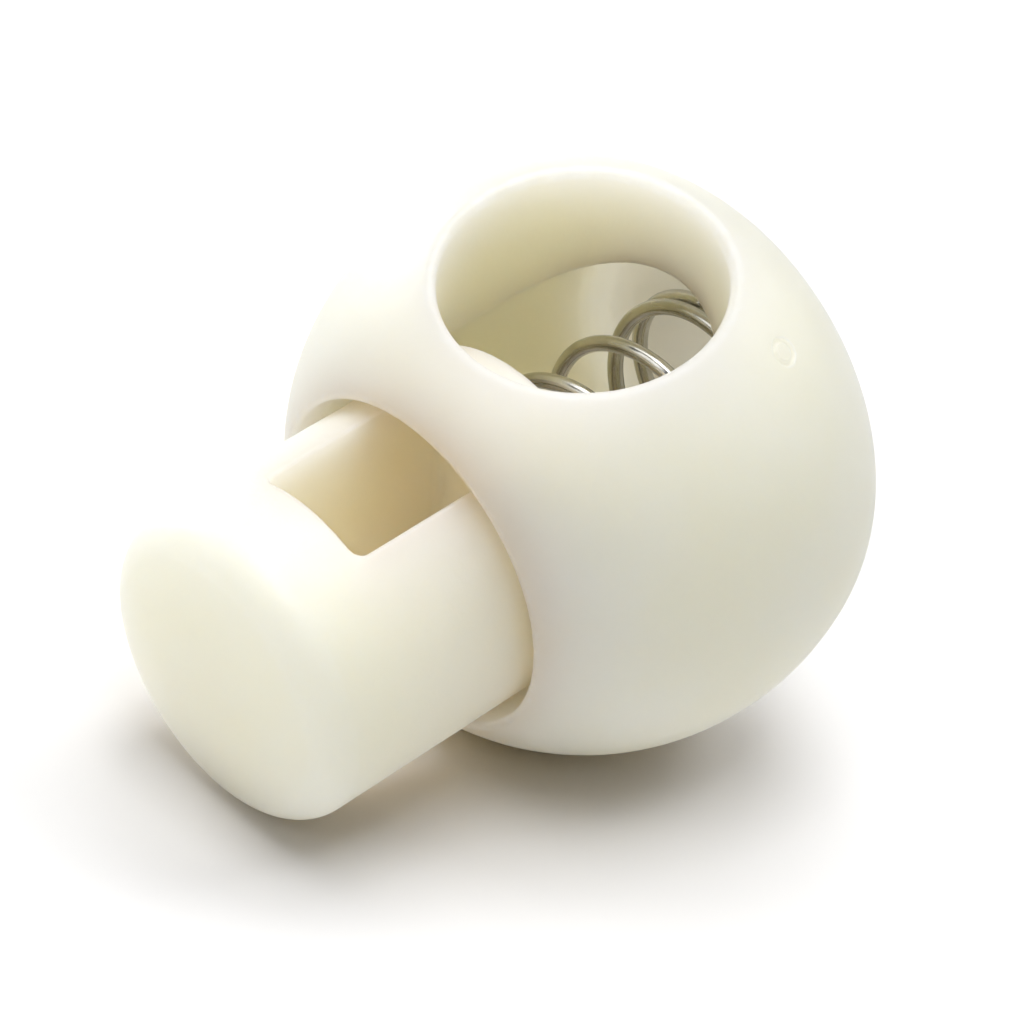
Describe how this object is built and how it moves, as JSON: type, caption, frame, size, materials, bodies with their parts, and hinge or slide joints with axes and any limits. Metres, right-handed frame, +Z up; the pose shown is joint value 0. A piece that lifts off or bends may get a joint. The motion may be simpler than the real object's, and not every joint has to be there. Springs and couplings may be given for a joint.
{
  "type": "cord lock",
  "caption": "Ball-shaped spring cord lock: a round body with a cross hole for the cord and a slotted push plunger backed by a coil spring.",
  "frame": {"origin": "where the plunger's axis crosses the axis of the cord passage", "axes": "+X is the way the plunger is pressed into the body, +Z runs up the cord passage, +Y completes a right-handed frame"},
  "size_m": [0.0217, 0.018, 0.0168],
  "materials": {
    "body_plastic": "moulded ivory plastic, fine satin texture",
    "plunger_plastic": "moulded ivory plastic, fine satin texture",
    "spring_steel": "bright drawn wire"
  },
  "bodies": {
    "body": {"body": "body_plastic", "spring": "spring_steel"},
    "plunger": {"plunger": "plunger_plastic"}
  },
  "joints": [
    {"name": "press", "type": "slide", "parent": "body", "child": "plunger", "axis": [1, 0, 0], "range_m": [0, 0.0054], "stiffness_N_per_m": 900, "springref_m": -0.006, "deforming": ["spring"]}
  ]
}
